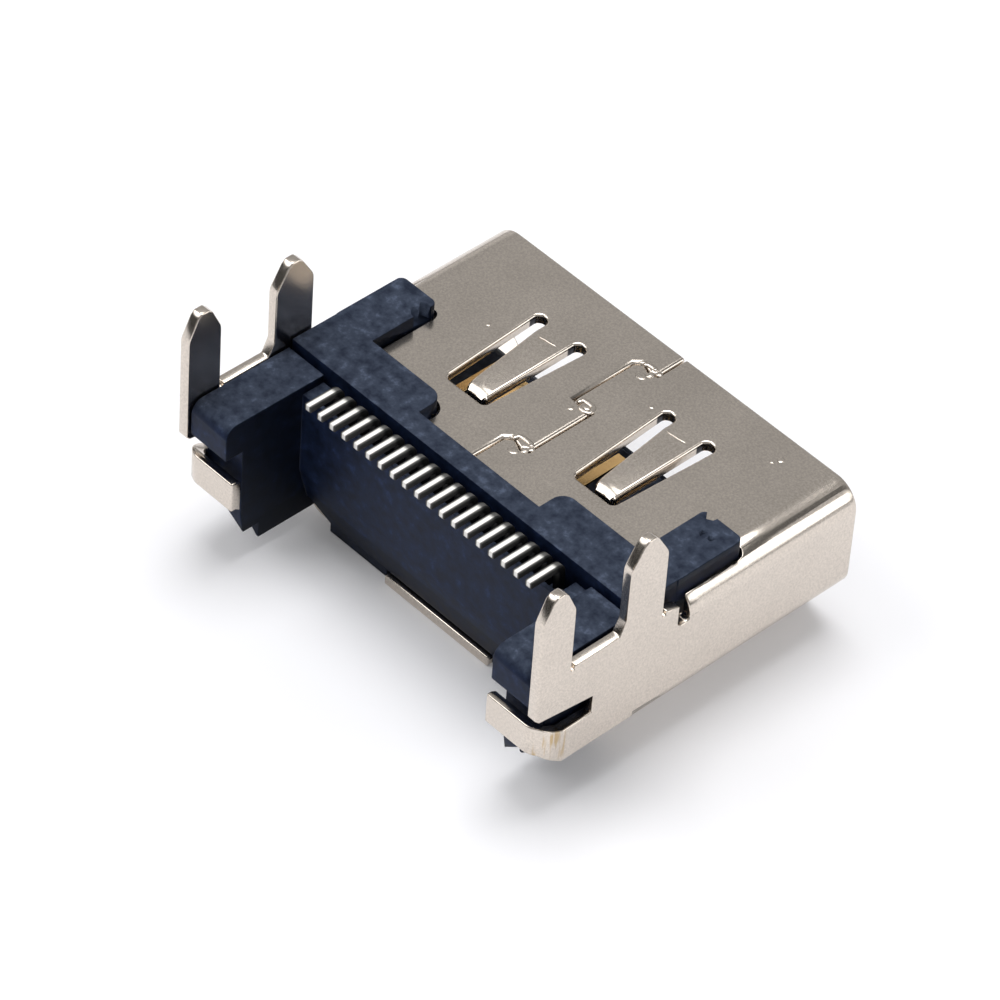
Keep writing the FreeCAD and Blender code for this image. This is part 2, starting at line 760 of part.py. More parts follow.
pieces = [make_shell(), make_insulator(), make_rear_block()]
pieces += [make_contact(index) for index in range(CONTACTS)]
doc.recompute()

for item in doc.Objects:
    if {"Invalid", "Error"} & set(item.State):
        raise RuntimeError("%s is in state %s" % (item.Label, item.State))
for piece in pieces:
    if piece.Shape.isNull() or not piece.Shape.isValid() or len(piece.Shape.Solids) != 1:
        raise RuntimeError("%s is not one valid solid" % piece.Label)

os.makedirs("parts", exist_ok=True)
for piece in pieces:
    piece.Shape.exportStep(os.path.join("parts", piece.Label + ".step"))
    print(piece.Label, "%.3f mm3" % piece.Shape.Volume)
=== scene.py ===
import json
import math

import bmesh
import bpy
from mathutils import Matrix, Vector

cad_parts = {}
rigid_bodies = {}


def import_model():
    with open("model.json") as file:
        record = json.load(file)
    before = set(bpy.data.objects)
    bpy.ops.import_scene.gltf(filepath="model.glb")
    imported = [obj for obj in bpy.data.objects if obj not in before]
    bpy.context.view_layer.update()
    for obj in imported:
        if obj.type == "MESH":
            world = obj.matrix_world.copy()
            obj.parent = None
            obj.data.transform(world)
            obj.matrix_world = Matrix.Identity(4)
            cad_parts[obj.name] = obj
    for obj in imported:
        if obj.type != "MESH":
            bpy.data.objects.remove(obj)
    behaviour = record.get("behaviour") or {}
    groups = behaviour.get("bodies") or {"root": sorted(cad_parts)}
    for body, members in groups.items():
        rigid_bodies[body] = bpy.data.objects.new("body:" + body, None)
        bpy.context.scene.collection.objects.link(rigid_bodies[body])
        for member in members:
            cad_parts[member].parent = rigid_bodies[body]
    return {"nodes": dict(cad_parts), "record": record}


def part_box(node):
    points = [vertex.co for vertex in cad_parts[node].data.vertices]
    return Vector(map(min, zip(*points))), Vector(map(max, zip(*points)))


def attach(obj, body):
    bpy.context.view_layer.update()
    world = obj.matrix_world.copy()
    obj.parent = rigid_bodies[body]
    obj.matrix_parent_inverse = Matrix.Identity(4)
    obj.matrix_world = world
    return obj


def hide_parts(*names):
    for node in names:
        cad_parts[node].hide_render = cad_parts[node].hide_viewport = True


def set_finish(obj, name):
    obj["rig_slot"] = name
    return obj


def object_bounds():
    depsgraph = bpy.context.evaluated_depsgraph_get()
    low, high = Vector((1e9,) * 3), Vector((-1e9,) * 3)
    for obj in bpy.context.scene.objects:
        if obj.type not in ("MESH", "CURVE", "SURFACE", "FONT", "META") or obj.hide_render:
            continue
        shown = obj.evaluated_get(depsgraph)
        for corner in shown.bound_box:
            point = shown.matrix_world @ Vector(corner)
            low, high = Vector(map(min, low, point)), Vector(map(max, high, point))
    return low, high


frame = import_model()
cad_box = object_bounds()

# Looks of the HDMI socket: copies of its solids with rounded edges, worked marks on the roof,
# materials, and the studio it stands in.
# Lengths are in millimetres. A place along the depth is measured from the socket's mouth,
# which stands at MOUTH in the part's frame.
MM = 0.001
DEPTH = round((cad_box[1][1] - cad_box[0][1]) / MM, 2)
MOUTH = -DEPTH / 2
ROOF = 5.25
SHEET_REAR = 8.45
SPRING_MIDDLE = 2.62
SPRING_TIP = 5.36
PIN_SPACING = 0.50
TAIL_TOP = 5.83

# Tolerances of the mesh work, in metres and radians.
SAME_POINT = 1e-7
ON_PLANE = 1e-8
FLAT = math.radians(0.3)
SHARP = math.radians(24)


# Mesh helpers

def stand(name, data):
    """Make an object and stand it in the scene."""
    thing = bpy.data.objects.new(name, data)
    bpy.context.scene.collection.objects.link(thing)
    return thing


def new_piece(name, mesh, slot, node=None):
    """Add a mesh as a piece of the part, riding on its one body."""
    piece = stand(name, mesh)
    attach(piece, "root")
    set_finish(piece, slot)
    if node:
        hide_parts(node)
    return piece


def whole_faces(node, cuts):
    """Copy a node's mesh with its flat facets merged into whole faces, split only at the cuts in X."""
    shape = bmesh.new()
    shape.from_mesh(frame["nodes"][node].data)
    bmesh.ops.remove_doubles(shape, verts=shape.verts, dist=SAME_POINT)
    for across in cuts:
        everything = shape.verts[:] + shape.edges[:] + shape.faces[:]
        cut = bmesh.ops.bisect_plane(shape, geom=everything, plane_co=(across * MM, 0, 0),
                                     plane_no=(1, 0, 0), dist=ON_PLANE)
        for item in cut["geom_cut"]:
            if isinstance(item, bmesh.types.BMEdge):
                item.seam = True
    bmesh.ops.dissolve_limit(shape, angle_limit=FLAT, verts=shape.verts, edges=shape.edges,
                             delimit={"SEAM"})
    return shape


def cut_along(shape, along, wanted):
    """Cut the wanted faces in two where they reach across a place along the depth."""
    place = (along + MOUTH) * MM
    near = [face for face in shape.faces if wanted(face)
            and max(v.co.y for v in face.verts) > place > min(v.co.y for v in face.verts)]
    parts = dict.fromkeys(item for face in near for item in (face, *face.edges, *face.verts))
    bmesh.ops.bisect_plane(shape, geom=list(parts), plane_co=(0, place, 0),
                           plane_no=(0, 1, 0), dist=ON_PLANE)


def weigh_edges(shape, width_of):
    """Give each sharp edge its share of the widest rounding, and return that width."""
    shape.normal_update()
    weight = shape.edges.layers.float.new("bevel_weight_edge")
    widths = {edge: width_of(edge) for edge in shape.edges if edge.calc_face_angle(0.0) > SHARP}
    widest = max(widths.values())
    for edge, width in widths.items():
        edge[weight] = width / widest
    return widest


def prisms(name, outlines):
    """Build upright prisms from outlines given across and along, each with a low and a high level."""
    points, faces = [], []
    for outline, low, high in outlines:
        first, count = len(points), len(outline)
        for level in (low, high):
            points += [(x * MM, (y + MOUTH) * MM, level * MM) for x, y in outline]
        faces.append([first + i for i in reversed(range(count))])
        faces.append([first + count + i for i in range(count)])
        for i in range(count):
            after = (i + 1) % count
            faces.append([first + i, first + after, first + count + after, first + count + i])
    mesh = bpy.data.meshes.new(name)
    mesh.from_pydata(points, [], faces)
    return mesh


def apply_modifiers(piece):
    """Put what the modifiers make of a piece in the place of its mesh."""
    graph = bpy.context.evaluated_depsgraph_get()
    final = bpy.data.meshes.new_from_object(piece.evaluated_get(graph),
                                            preserve_all_data_layers=True, depsgraph=graph)
    piece.modifiers.clear()
    piece.data = final
    final.name = piece.name


def soften(node, slot, width_of, segments=2, reshape=None, cuts=(), chips=()):
    """Stand a copy with truly rounded edges, and chips where it has any, in a node's place."""
    shape = whole_faces(node, cuts)
    if reshape:
        reshape(shape)
    widest = weigh_edges(shape, width_of)
    mesh = bpy.data.meshes.new(node + "_raw")
    shape.to_mesh(mesh)
    shape.free()
    mesh.shade_smooth()
    piece = new_piece(node + "_finished", mesh, slot, node)
    rounding = piece.modifiers.new("rounding", "BEVEL")
    rounding.width = widest * MM
    rounding.segments = segments
    rounding.limit_method = "WEIGHT"
    rounding.use_clamp_overlap = False
    if chips:
        cutter = stand("cutter", prisms("cutter", chips))
        chipping = piece.modifiers.new("chipping", "BOOLEAN")
        chipping.operation = "DIFFERENCE"
        chipping.solver = "EXACT"
        chipping.object = cutter
    shading = piece.modifiers.new("shading", "WEIGHTED_NORMAL")
    shading.mode = "FACE_AREA"
    shading.weight = 100
    apply_modifiers(piece)
    if chips:
        bpy.data.objects.remove(cutter)
    low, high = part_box(node)
    for vertex in piece.data.vertices:
        for axis in range(3):
            vertex.co[axis] = min(max(vertex.co[axis], low[axis]), high[axis])


def middle_of(edge):
    """Middle of an edge in millimetres, its Y measured from the mouth."""
    middle = (edge.verts[0].co + edge.verts[1].co) / (2 * MM)
    return Vector((middle.x, middle.y - MOUTH, middle.z))


def wall_below(edge):
    """Where the wall looks that meets an upward face at this edge, or None if none does."""
    walls = [face.normal for face in edge.link_faces if abs(face.normal.z) < 0.5]
    tops = [face.normal for face in edge.link_faces if face.normal.z > 0.8]
    return walls[0] if len(walls) == 1 and len(tops) == 1 else None


# Shell: the sheet's rolled edges and the curled tips of its spring tongues

ROLL_INNER = 6.3
NEARLY_UPRIGHT, NEARLY_FLAT = 0.02, 0.9995
ROLL_CUTS = (0.3, 1.5, 3.0, 4.5, 6.0, 7.0)
TONGUE_HALF = 0.62
TONGUE_START = 2.5
TONGUE_DEPTH = 0.80
TIP_BEND = 0.42
TIP_CUTS = (0.0, 0.28, 0.50, 0.70)
TIP_DROP = 0.17
TIP_SHORTENING = 0.02
SHADING_CUT = SPRING_MIDDLE + 0.013

SHEET_ROUND = 0.05
MOUTH_ROUND = 0.07
WINDOW_ROUND = 0.09
SEAM_EXTRA = 0.09
WORN_SIDE = Vector((-0.7, 0.5, 0.0))
MOUTH_FACE = 0.01
ROOF_EDGES_BELOW = 0.7
WINDOW_START, WINDOW_END, WINDOW_HALF = 1.8, 5.9, 1.1
SEAM_END, SEAM_HALF = 7.58, 0.75
STRIP_INNER, STRIP_FOOT = 6.5, 2.2
REAR_MARGIN = 0.08


def on_roll(face):
    """Say whether a face belongs to a rolled corner beside the roof or the floor."""
    outside = abs(face.calc_center_median().x) > ROLL_INNER * MM
    return outside and NEARLY_UPRIGHT < abs(face.normal.z) < NEARLY_FLAT


def in_tongue(place):
    """Say whether a point belongs to the free part of a spring tongue."""
    across = abs(abs(place.x / MM) - SPRING_MIDDLE)
    along = place.y / MM - MOUTH
    depth = min(abs(place.z / MM), abs(place.z / MM - ROOF))
    return across < TONGUE_HALF and TONGUE_START < along < SPRING_TIP + 0.01 and depth < TONGUE_DEPTH


def work_sheet(shape):
    """Cut the rolls across, so that they shade evenly, and curl the tongues' tips into the cavity."""
    for along in ROLL_CUTS:
        cut_along(shape, along, on_roll)
    start = SPRING_TIP - TIP_BEND
    for share in TIP_CUTS:
        cut_along(shape, start + TIP_BEND * share,
                  lambda face: in_tongue(face.calc_center_median()))
    for vertex in shape.verts:
        along = vertex.co.y / MM - MOUTH
        if in_tongue(vertex.co) and along > start + 1e-4:
            share = min((along - start) / TIP_BEND, 1.0)
            drop = TIP_DROP * share * share
            vertex.co.z -= math.copysign(drop, vertex.co.z / MM - ROOF / 2) * MM
            vertex.co.y -= TIP_SHORTENING * share * share * MM


def shell_rim(edge):
    """Width of the rounding along an edge of the sheet."""
    middle = middle_of(edge)
    wall = wall_below(edge)
    if wall and abs(middle.z - ROOF) < ROOF_EDGES_BELOW:
        beside_spring = abs(abs(middle.x) - SPRING_MIDDLE) < WINDOW_HALF
        if beside_spring and WINDOW_START < middle.y < WINDOW_END:
            return WINDOW_ROUND
        if abs(middle.x) < SEAM_HALF and MOUTH_FACE < middle.y < SEAM_END:
            # The seam's lip that looks to the worn side is rounder than the other.
            worn = min(max(0.5 + wall.dot(WORN_SIDE), 0.0), 1.0)
            return SHEET_ROUND + SEAM_EXTRA * worn
    # The short edges below the strips stay sharp: a rounding would stick out there.
    at_rear = abs(middle.y - SHEET_REAR) < REAR_MARGIN
    if at_rear and abs(middle.x) > STRIP_INNER and middle.z < STRIP_FOOT:
        return 0.0
    return MOUTH_ROUND if middle.y < MOUTH_FACE else SHEET_ROUND


soften("shell", "shell", shell_rim, segments=3, reshape=work_sheet, cuts=(-SHADING_CUT, SHADING_CUT))


# Mouldings and contacts

CONTACT_ROUND = 0.03
PLASTIC_ROUND = 0.035
BLADE_ROUND = 0.03
BLADE_FRONT = 2.5
SEEN_FROM_ABOVE = 5.0
SHORTEST_ROUNDED = 1.0

# Bites and pits in the ends of the moulding's two arms: outline, low level and high level.
DEEP, SHALLOW, OVER = 5.20, 5.50, 6.0
ARM_CHIPS = (
    (((5.20, 4.44), (5.62, 4.46), (5.80, 4.57), (5.70, 4.72),
      (5.79, 4.94), (5.58, 5.12), (5.20, 5.14)), DEEP, OVER),
    (((5.20, 4.00), (5.58, 4.00), (5.64, 4.17), (5.47, 4.28), (5.20, 4.30)), DEEP, OVER),
    (((-5.98, 4.00), (-5.52, 4.00), (-5.56, 4.28), (-5.74, 4.46), (-5.92, 4.36)), DEEP, OVER),
    (((-6.16, 4.80), (-6.00, 4.84), (-5.98, 5.00), (-6.12, 5.05)), SHALLOW, OVER),
    (((-6.50, 4.78), (-6.26, 4.86), (-6.30, 5.00), (-6.46, 4.98)), SHALLOW, OVER),
)


def plastic_rim(edge):
    """Width of the rounding along a moulded edge, which is sharp where it can't be seen."""
    middle = middle_of(edge)
    if middle.z > SEEN_FROM_ABOVE or middle.y > SHEET_REAR:
        return PLASTIC_ROUND
    on_blade = middle.y < BLADE_FRONT and edge.calc_length() > SHORTEST_ROUNDED * MM
    return BLADE_ROUND if on_blade else 0.0


soften("insulator", "insulator", plastic_rim, chips=ARM_CHIPS)
soften("rear_block", "insulator", plastic_rim)
for node in sorted(frame["nodes"]):
    if node.startswith("contact_"):
        soften(node, "contacts", lambda edge: CONTACT_ROUND)


# Roof: worked edges and marks, too small for the solids

STEPS = 6
RING_POINTS = 7
FADE_STATIONS = 3
TIP_STATION = 0.6
SUNK = 0.006

CURL_WIDTH, CURL_HEIGHT = 0.16, 0.042
SEAM_CURLS = (
    ((0.17, 1.12), (0.12, 1.03), (-0.02, 0.99), (-0.16, 0.98), (-0.24, 1.05)),
    ((0.22, 3.62), (0.21, 3.46), (0.00, 3.41), (-0.21, 3.43),
     (-0.30, 3.62), (-0.20, 3.72), (0.00, 3.72), (0.10, 3.66)),
    ((0.32, 6.04), (0.28, 5.84), (0.05, 5.78), (-0.19, 5.80), (-0.27, 5.90)),
)
CREASE_WIDTH, CREASE_HEIGHT = 0.07, 0.014
CREASES = (
    ((2.96, 2.59), (2.63, 2.54), (2.30, 2.50)),
    ((-2.20, 2.50), (-2.55, 2.47), (-2.91, 2.43)),
)
# Across, along, width, length and height of each lump.
ROOF_MARKS = (
    (-0.26, 1.26, 0.22, 0.30, 0.034),
    (-0.40, 1.04, 0.22, 0.20, 0.030),
    (-0.11, 1.49, 0.36, 0.28, 0.014),
    (0.19, 3.93, 0.22, 0.20, 0.022),
    (-0.04, 3.57, 0.34, 0.24, 0.020),
    (-0.26, 6.10, 0.20, 0.28, 0.034),
    (-0.34, 5.93, 0.20, 0.20, 0.028),
    (-0.03, 6.35, 0.34, 0.28, 0.014),
    (-5.10, 0.85, 0.20, 0.24, 0.018),
    (-4.98, 1.10, 0.14, 0.14, 0.014),
    (4.22, 3.36, 0.18, 0.16, 0.016),
    (-1.22, 2.14, 0.18, 0.16, 0.014),
)


def smooth_path(corners):
    """Lay stations on a smooth curve through points given across and along."""
    points = [Vector((x, y + MOUTH, 0)) for x, y in corners]
    stations = []
    for i in range(len(points) - 1):
        before, start, end = points[max(i - 1, 0)], points[i], points[i + 1]
        after = points[min(i + 2, len(points) - 1)]
        lean_start, lean_end = (end - before) / 2, (after - start) / 2
        for step in range(STEPS):
            t = step / STEPS
            stations.append((2 * t**3 - 3 * t**2 + 1) * start + (t**3 - 2 * t**2 + t) * lean_start
                            + (3 * t**2 - 2 * t**3) * end + (t**3 - t**2) * lean_end)
    return stations + [points[-1]]


def sweep_ridge(shape, corners, width, height):
    """Sweep a low half-round ridge that fades out at both ends along a path on the roof."""
    stations = smooth_path(corners)
    last = len(stations) - 1
    rings = []
    for i, place in enumerate(stations):
        ahead = stations[min(i + 1, last)] - stations[max(i - 1, 0)]
        across = Vector((-ahead.y, ahead.x, 0)).normalized()
        fade = min(1.0, (min(i, last - i) + TIP_STATION) / FADE_STATIONS)
        ring = []
        for turn in range(RING_POINTS):
            angle = math.pi * turn / (RING_POINTS - 1)
            spot = place + across * (math.cos(angle) * width / 2 * fade)
            spot.z = ROOF - SUNK + math.sin(angle) * (height + SUNK) * fade
            ring.append(shape.verts.new(spot * MM))
        rings.append(ring)
    for one, two in zip(rings, rings[1:]):
        for k in range(RING_POINTS):
            after = (k + 1) % RING_POINTS
            shape.faces.new((one[k], two[k], two[after], one[after]))
    shape.faces.new(rings[0])
    shape.faces.new(list(reversed(rings[-1])))


def press_lump(shape, across, along, width, length, height):
    """Set a low rounded lump on the roof."""
    ball = bmesh.ops.create_uvsphere(shape, u_segments=14, v_segments=8, radius=1.0)
    for vertex in ball["verts"]:
        vertex.co = Vector((vertex.co.x * width / 2 + across,
                            vertex.co.y * length / 2 + along + MOUTH,
                            vertex.co.z * height + ROOF)) * MM


def roof_relief():
    """Raise the curls of the seam's locks, the tongues' creases and a few small marks."""
    shape = bmesh.new()
    for corners in SEAM_CURLS:
        sweep_ridge(shape, corners, CURL_WIDTH, CURL_HEIGHT)
    for corners in CREASES:
        sweep_ridge(shape, corners, CREASE_WIDTH, CREASE_HEIGHT)
    for mark in ROOF_MARKS:
        press_lump(shape, *mark)
    bmesh.ops.recalc_face_normals(shape, faces=shape.faces[:])
    mesh = bpy.data.meshes.new("roof_relief")
    shape.to_mesh(mesh)
    shape.free()
    mesh.shade_smooth()
    new_piece("roof_relief", mesh, "shell")


roof_relief()


# Node helpers: each takes and returns outputs of nodes, and feed takes plain values too

# Places of the colour sockets on a mix node.
MIX_FIRST, MIX_SECOND, MIX_RESULT = 6, 7, 2


def new_material(name):
    """Start an empty node material and return it with its node tree."""
    material = bpy.data.materials.new(name)
    material.use_nodes = True
    material.node_tree.nodes.clear()
    return material, material.node_tree


def add(tree, kind, **settings):
    """Add a node, set the properties and sockets named, and return it."""
    node = tree.nodes.new(kind)
    for name, value in settings.items():
        if hasattr(node, name):
            setattr(node, name, value)
        else:
            node.inputs[name.replace("_", " ")].default_value = value
    return node


def feed(tree, value, socket):
    """Link an output to a socket, or set the socket to a plain value."""
    if isinstance(value, bpy.types.NodeSocket):
        tree.links.new(value, socket)
    else:
        socket.default_value = value


def calculate(tree, operation, *values):
    """Work out one value from others, or from plain numbers."""
    node = add(tree, "ShaderNodeMath", operation=operation)
    for value, socket in zip(values, node.inputs):
        feed(tree, value, socket)
    return node.outputs[0]


def product(tree, first, *others):
    """Multiply values."""
    for other in others:
        first = calculate(tree, "MULTIPLY", first, other)
    return first


def spread(tree, value, source, target, smooth=True):
    """Map a value from one range to another and hold it at the ends."""
    node = add(tree, "ShaderNodeMapRange", From_Min=source[0], From_Max=source[1],
               To_Min=target[0], To_Max=target[1])
    if smooth:
        node.interpolation_type = "SMOOTHSTEP"
    feed(tree, value, node.inputs["Value"])
    return node.outputs[0]


def axes_of(tree, vector):
    """Values of a vector along X, Y and Z."""
    node = tree.nodes.new("ShaderNodeSeparateXYZ")
    feed(tree, vector, node.inputs[0])
    return {axis: node.outputs[axis] for axis in "XYZ"}


def limit(tree, axes, axis, outside, inside, least=0.0):
    """Mask that is least up to one place on an axis and full from the other, in millimetres."""
    shift = MOUTH if axis == "Y" else 0.0
    return spread(tree, axes[axis], ((outside + shift) * MM, (inside + shift) * MM), (least, 1.0))


def region(tree, axes, limits):
    """Mask that is full only inside all the limits."""
    return product(tree, *(limit(tree, axes, *one) for one in limits))


def ramp(tree, value, stops):
    """Map a value through colour stops."""
    node = tree.nodes.new("ShaderNodeValToRGB")
    elements = node.color_ramp.elements
    while len(elements) < len(stops):
        elements.new(0.5)
    for element, (place, colour) in zip(elements, stops):
        element.position = place
        element.color = (*colour, 1.0)
    feed(tree, value, node.inputs["Fac"])
    return node.outputs["Color"]


def mix(tree, factor, first, second, blend="MIX"):
    """Mix two colours, or plain ones."""
    node = add(tree, "ShaderNodeMix", data_type="RGBA", blend_type=blend)
    feed(tree, factor, node.inputs["Factor"])
    feed(tree, first, node.inputs[MIX_FIRST])
    feed(tree, second, node.inputs[MIX_SECOND])
    return node.outputs[MIX_RESULT]


def darken(tree, colour, value):
    """Multiply a colour by a value or by another colour."""
    return mix(tree, 1.0, colour, value, "MULTIPLY")


def noise(tree, place, scale, detail, roughness=0.55):
    """Noise at a place."""
    node = add(tree, "ShaderNodeTexNoise", Scale=scale, Detail=detail, Roughness=roughness)
    feed(tree, place, node.inputs["Vector"])
    return node.outputs["Fac"]


def stretch(tree, place, scale):
    """Scale a place before a texture."""
    node = add(tree, "ShaderNodeMapping", Scale=scale)
    feed(tree, place, node.inputs["Vector"])
    return node.outputs["Vector"]


def bump(tree, height, strength, depth, under=None):
    """Turn a value into relief of a given depth in millimetres, on top of other relief if given."""
    node = add(tree, "ShaderNodeBump", Strength=strength, Distance=depth * MM)
    feed(tree, height, node.inputs["Height"])
    if under:
        feed(tree, under, node.inputs["Normal"])
    return node.outputs["Normal"]


def finish_surface(tree, shader, **sockets):
    """Feed a shader's sockets and connect it to the surface output."""
    for name, value in sockets.items():
        feed(tree, value, shader.inputs[name.replace("_", " ")])
    output = tree.nodes.new("ShaderNodeOutputMaterial")
    feed(tree, shader.outputs[0], output.inputs["Surface"])


def tone(colour, share):
    """A plain colour made darker or lighter."""
    return tuple(share * channel for channel in colour)


# Materials. A limit names an axis, where its mask is nothing and where it is full, and the SIDE
# axis is the distance from the middle to either side.

NICKEL = (0.69, 0.622, 0.550)
NICKEL_ROUGH = (0.17, 0.24)
AMBER = (0.50, 0.35, 0.16, 1.0)
STRIP_BEND = (("Y", 10.8, 11.2), ("Y", 12.3, 11.9), ("X", -6.9, -7.1),
              ("Z", 1.9, 2.3), ("Z", 3.28, 3.12))
# Painted shade on the inner walls at the front ends of the windows in the roof: its near-black colour
# and where it lies.
SLOT_END_SHADE = (0.03, 0.03, 0.035, 1.0)
SHADED_SLOT_ENDS = (("Y", 2.00, 2.04), ("Y", 2.32, 2.26), ("Z", ROOF - 0.50, ROOF - 0.45),
             ("Z", ROOF - 0.025, ROOF - 0.060), ("SIDE", 1.3, 1.4), ("SIDE", 4.1, 4.0))

GOLD = (0.83, 0.60, 0.29, 1.0)
TIN = (0.94, 0.92, 0.88)
# Painted shade on the tails: the tin darkens across each tail's edges and down its bend and riser.
TAIL_CORE, TAIL_EDGE, EDGE_SHADE = 0.045, 0.090, 0.06
TAIL_ROOT_SHADE = (("Z", TAIL_TOP - 0.36, TAIL_TOP - 0.12, 0.12), ("Y", 8.95, 9.10, 0.12))
TINNED = (("Y", 7.715, 8.215),)
METALLIC_GOLD_TO_TIN = (1.0, 0.45)
ROUGH_GOLD_TO_TIN = (0.22, 0.55)

BLACK = (0.013, 0.017, 0.030)
FLECK = (0.040, 0.050, 0.075)
PLASTIC_ROUGH = (0.40, 0.56)
SHINE_TINT = (0.50, 0.66, 1.0, 1.0)
# Painted shade on the plastic: faces that don't look up take this darker, bluer colour.
SIDEWAYS_SHADE = (0.22, 0.31, 0.56)
# Painted shade low down near the floor: the height where it is full, where it is gone, and how dark it
# gets.
LOW_SHADE = ("Z", 1.25, 1.40, 0.45)


def nickel_material(name):
    """Satin nickel plate: cloudy grain, drawn lines, amber on a bend and painted shade at the windows'
    front ends.
    """
    material, tree = new_material(name)
    place = tree.nodes.new("ShaderNodeTexCoord").outputs["Object"]
    axes = axes_of(tree, place)
    axes["SIDE"] = calculate(tree, "ABSOLUTE", axes["X"])
    cloud = noise(tree, place, scale=420, detail=4)
    speckle = noise(tree, place, scale=15000, detail=2)
    grain = noise(tree, place, scale=9000, detail=2)
    lines = noise(tree, stretch(tree, place, (1, 0.06, 1)), scale=5200, detail=2)
    strokes = noise(tree, stretch(tree, place, (1, 1, 0.10)), scale=6500, detail=2)
    colour = ramp(tree, cloud, [(0.30, tone(NICKEL, 0.95)), (0.70, NICKEL)])
    colour = darken(tree, colour, spread(tree, speckle, (0.30, 0.70), (0.86, 1.08), smooth=False))
    stained = product(tree, region(tree, axes, STRIP_BEND),
                      spread(tree, strokes, (0.48, 0.62), (0.0, 0.8)))
    colour = mix(tree, stained, colour, AMBER)
    # Painted shade: the inner walls at the windows' front ends are darkened to near black.
    colour = mix(tree, region(tree, axes, SHADED_SLOT_ENDS), colour, SLOT_END_SHADE)
    relief = bump(tree, grain, strength=0.5, depth=0.0022)
    relief = bump(tree, lines, strength=0.3, depth=0.0010, under=relief)
    finish_surface(tree, add(tree, "ShaderNodeBsdfPrincipled", Metallic=1.0),
                   Base_Color=colour, Normal=relief,
                   Roughness=spread(tree, cloud, (0.0, 1.0), NICKEL_ROUGH, smooth=False))
    return material


def contact_material(name):
    """Gold plate inside the socket, matt tin on the tails that are soldered, with painted shade on the
    tails' edges and down their bends and risers.
    """
    material, tree = new_material(name)
    place = tree.nodes.new("ShaderNodeTexCoord").outputs["Object"]
    axes = axes_of(tree, place)
    cloud = noise(tree, place, scale=2600, detail=4)
    from_middle = calculate(tree, "PINGPONG", axes["X"], PIN_SPACING / 2 * MM)
    # Painted shade: the tin is darkened at the tails' edges and at their bends and risers.
    edges = spread(tree, from_middle, (TAIL_CORE * MM, TAIL_EDGE * MM), (1.0, EDGE_SHADE))
    shade = product(tree, edges, region(tree, axes, TAIL_ROOT_SHADE))
    tin = darken(tree, ramp(tree, cloud, [(0.30, tone(TIN, 0.90)), (0.62, TIN)]), shade)
    tinned = region(tree, axes, TINNED)
    finish_surface(tree, tree.nodes.new("ShaderNodeBsdfPrincipled"),
                   Base_Color=mix(tree, tinned, GOLD, tin),
                   Metallic=spread(tree, tinned, (0.0, 1.0), METALLIC_GOLD_TO_TIN, smooth=False),
                   Roughness=spread(tree, tinned, (0.0, 1.0), ROUGH_GOLD_TO_TIN, smooth=False),
                   Normal=bump(tree, cloud, strength=0.5, depth=0.002))
    return material


def plastic_material(name):
    """Black glass-filled plastic: mottled grain and paler flecks, with painted shade on faces that
    don't look up, on faces that look towards -X and low down near the floor.
    """
    material, tree = new_material(name)
    where = tree.nodes.new("ShaderNodeTexCoord")
    place = where.outputs["Object"]
    axes = axes_of(tree, place)
    facing = axes_of(tree, where.outputs["Normal"])
    mottle = noise(tree, place, scale=2600, detail=5, roughness=0.65)
    grain = noise(tree, place, scale=11000, detail=3)
    colour = ramp(tree, mottle, [(0.34, BLACK), (0.58, FLECK), (0.70, tone(FLECK, 1.9))])
    # Painted shade: faces that don't look up are darkened.
    upward = spread(tree, facing["Z"], (0.2, 0.9), (0.0, 1.0))
    colour = darken(tree, colour, ramp(tree, upward, [(0.0, SIDEWAYS_SHADE), (1.0, (1.0, 1.0, 1.0))]))
    # Painted shade: the plastic low down near the floor is darkened.
    colour = darken(tree, colour, limit(tree, axes, *LOW_SHADE))
    # Painted shade: faces that look towards -X are darkened.
    colour = darken(tree, colour, spread(tree, facing["X"], (-0.9, -0.5), (0.30, 1.0)))
    relief = bump(tree, mottle, strength=0.5, depth=0.008)
    relief = bump(tree, grain, strength=0.4, depth=0.003, under=relief)
    shader = add(tree, "ShaderNodeBsdfPrincipled", Specular_Tint=SHINE_TINT, Specular_IOR_Level=0.16)
    finish_surface(tree, shader, Base_Color=colour, Normal=relief,
                   Roughness=spread(tree, mottle, (0.0, 1.0), PLASTIC_ROUGH, smooth=False))
    return material


SLOT_MATERIALS = {
    "shell": nickel_material("nickel_plate"),
    "contacts": contact_material("contact_plate"),
    "insulator": plastic_material("black_plastic"),
}


def dress(mesh, material):
    """Give a mesh one material in all its slots."""
    if not mesh.materials:
        mesh.materials.append(material)
    for index in range(len(mesh.materials)):
        mesh.materials[index] = material


for entry in frame["record"]["subparts"]:
    dress(frame["nodes"][entry["node"]].data, SLOT_MATERIALS[entry["material_slot"]])
for piece in bpy.data.objects:
    if piece.get("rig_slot"):
        dress(piece.data, SLOT_MATERIALS[piece["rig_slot"]])


# Floor, camera and light

FLOOR_HALF = 0.6
FLOOR_BELOW = 0.00002
FLOOR_COLOUR = (0.86, 0.86, 0.885, 1.0)
FLOOR_GLOW = 0.10

# The camera as fitted to the photograph, in the part's frame, its focal length in pixels.
CAMERA_PLACE = (-81.198, 84.090, 115.753)
CAMERA_FORWARD = (0.50194, -0.51630, -0.69389)
CAMERA_RIGHT = (-0.67859, -0.73252, 0.05417)
PHOTO_FOCAL, PHOTO_WIDTH = 5785.7, 1000.0
SENSOR_WIDTH = 36.0

# The room's light low down and high up, the heights between which it changes, and the least.
ROOM_LIGHT = (0.12, 0.41)
ROOM_HEIGHTS = (0.02, 0.30)
LEAST_LIGHT = 0.02
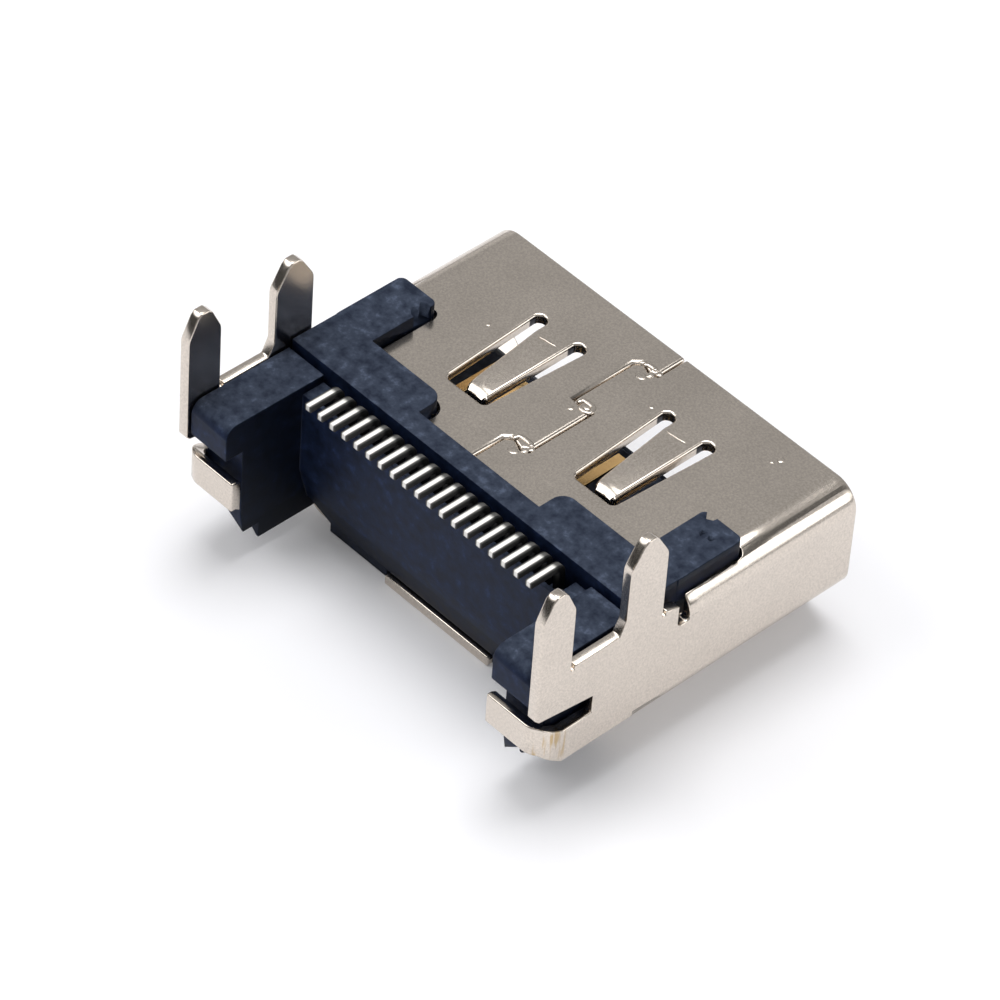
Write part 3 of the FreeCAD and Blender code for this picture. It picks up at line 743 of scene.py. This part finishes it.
# Panels of light, and of shade where negative: direction, degrees from it where the panel ends,
# degrees where it is full, strength.
PANELS = (
    ((0.12, -0.14, 0.983), 21, 16, 5.5),
    ((0.50, 0.48, 0.70), 22, 13, 2.9),
    ((-0.75, -0.52, 0.40), 21, 12, 2.1),
    ((0.85, -0.50, 0.06), 26, 12, 0.28),
    ((0.45, 0.88, 0.15), 40, 25, -0.36),
    ((-0.46, -0.50, 0.73), 20, 12, -0.30),
)


def stage_floor():
    """Lay a white floor that keeps the object's soft shadow and glows faintly to the camera."""
    half = FLOOR_HALF
    mesh = bpy.data.meshes.new("floor")
    mesh.from_pydata([(-half, -half, 0), (half, -half, 0), (half, half, 0), (-half, half, 0)],
                     [], [(0, 1, 2, 3)])
    floor = stand("floor", mesh)
    floor.location.z = -FLOOR_BELOW
    material, tree = new_material("white_table")
    rays = tree.nodes.new("ShaderNodeLightPath")
    seen = calculate(tree, "MAXIMUM", rays.outputs["Is Camera Ray"], rays.outputs["Is Glossy Ray"])
    glow = add(tree, "ShaderNodeEmission", Color=(1.0, 1.0, 1.0, 1.0))
    feed(tree, product(tree, seen, FLOOR_GLOW), glow.inputs["Strength"])
    diffuse = add(tree, "ShaderNodeBsdfDiffuse", Color=FLOOR_COLOUR)
    total = tree.nodes.new("ShaderNodeAddShader")
    feed(tree, diffuse.outputs[0], total.inputs[0])
    feed(tree, glow.outputs[0], total.inputs[1])
    finish_surface(tree, total)
    mesh.materials.append(material)


def stage_camera():
    """Stand the camera where the photograph was taken from."""
    forward = Vector(CAMERA_FORWARD).normalized()
    right = Vector(CAMERA_RIGHT)
    right = (right - forward * right.dot(forward)).normalized()
    up = right.cross(forward)
    data = bpy.data.cameras.new("camera")
    data.sensor_fit = "HORIZONTAL"
    data.sensor_width = SENSOR_WIDTH
    data.lens = SENSOR_WIDTH * PHOTO_FOCAL / PHOTO_WIDTH
    data.clip_start = 0.005
    data.clip_end = 5.0
    camera = stand("camera", data)
    turn = Matrix((right, up, -forward)).transposed()
    camera.matrix_world = Matrix.Translation(Vector(CAMERA_PLACE) * MM) @ turn.to_4x4()
    bpy.context.scene.camera = camera


def stage_world():
    """Surround the scene with a grey room that has soft panels of light and shade."""
    world = bpy.data.worlds.new("room")
    bpy.context.scene.world = world
    world.use_nodes = True
    tree = world.node_tree
    tree.nodes.clear()
    sight = tree.nodes.new("ShaderNodeTexCoord").outputs["Generated"]
    light = spread(tree, axes_of(tree, sight)["Z"], ROOM_HEIGHTS, ROOM_LIGHT)
    for direction, outside, inside, strength in PANELS:
        toward = add(tree, "ShaderNodeVectorMath", operation="DOT_PRODUCT")
        feed(tree, sight, toward.inputs[0])
        feed(tree, Vector(direction).normalized(), toward.inputs[1])
        rim = (math.cos(math.radians(outside)), math.cos(math.radians(inside)))
        panel = spread(tree, toward.outputs["Value"], rim, (0.0, strength))
        light = calculate(tree, "ADD", light, panel)
    back = add(tree, "ShaderNodeBackground", Color=(1.0, 1.0, 1.0, 1.0))
    feed(tree, calculate(tree, "MAXIMUM", light, LEAST_LIGHT), back.inputs["Strength"])
    output = tree.nodes.new("ShaderNodeOutputWorld")
    feed(tree, back.outputs[0], output.inputs["Surface"])


stage_floor()
stage_camera()
stage_world()
bpy.context.scene.view_settings.view_transform = "Standard"
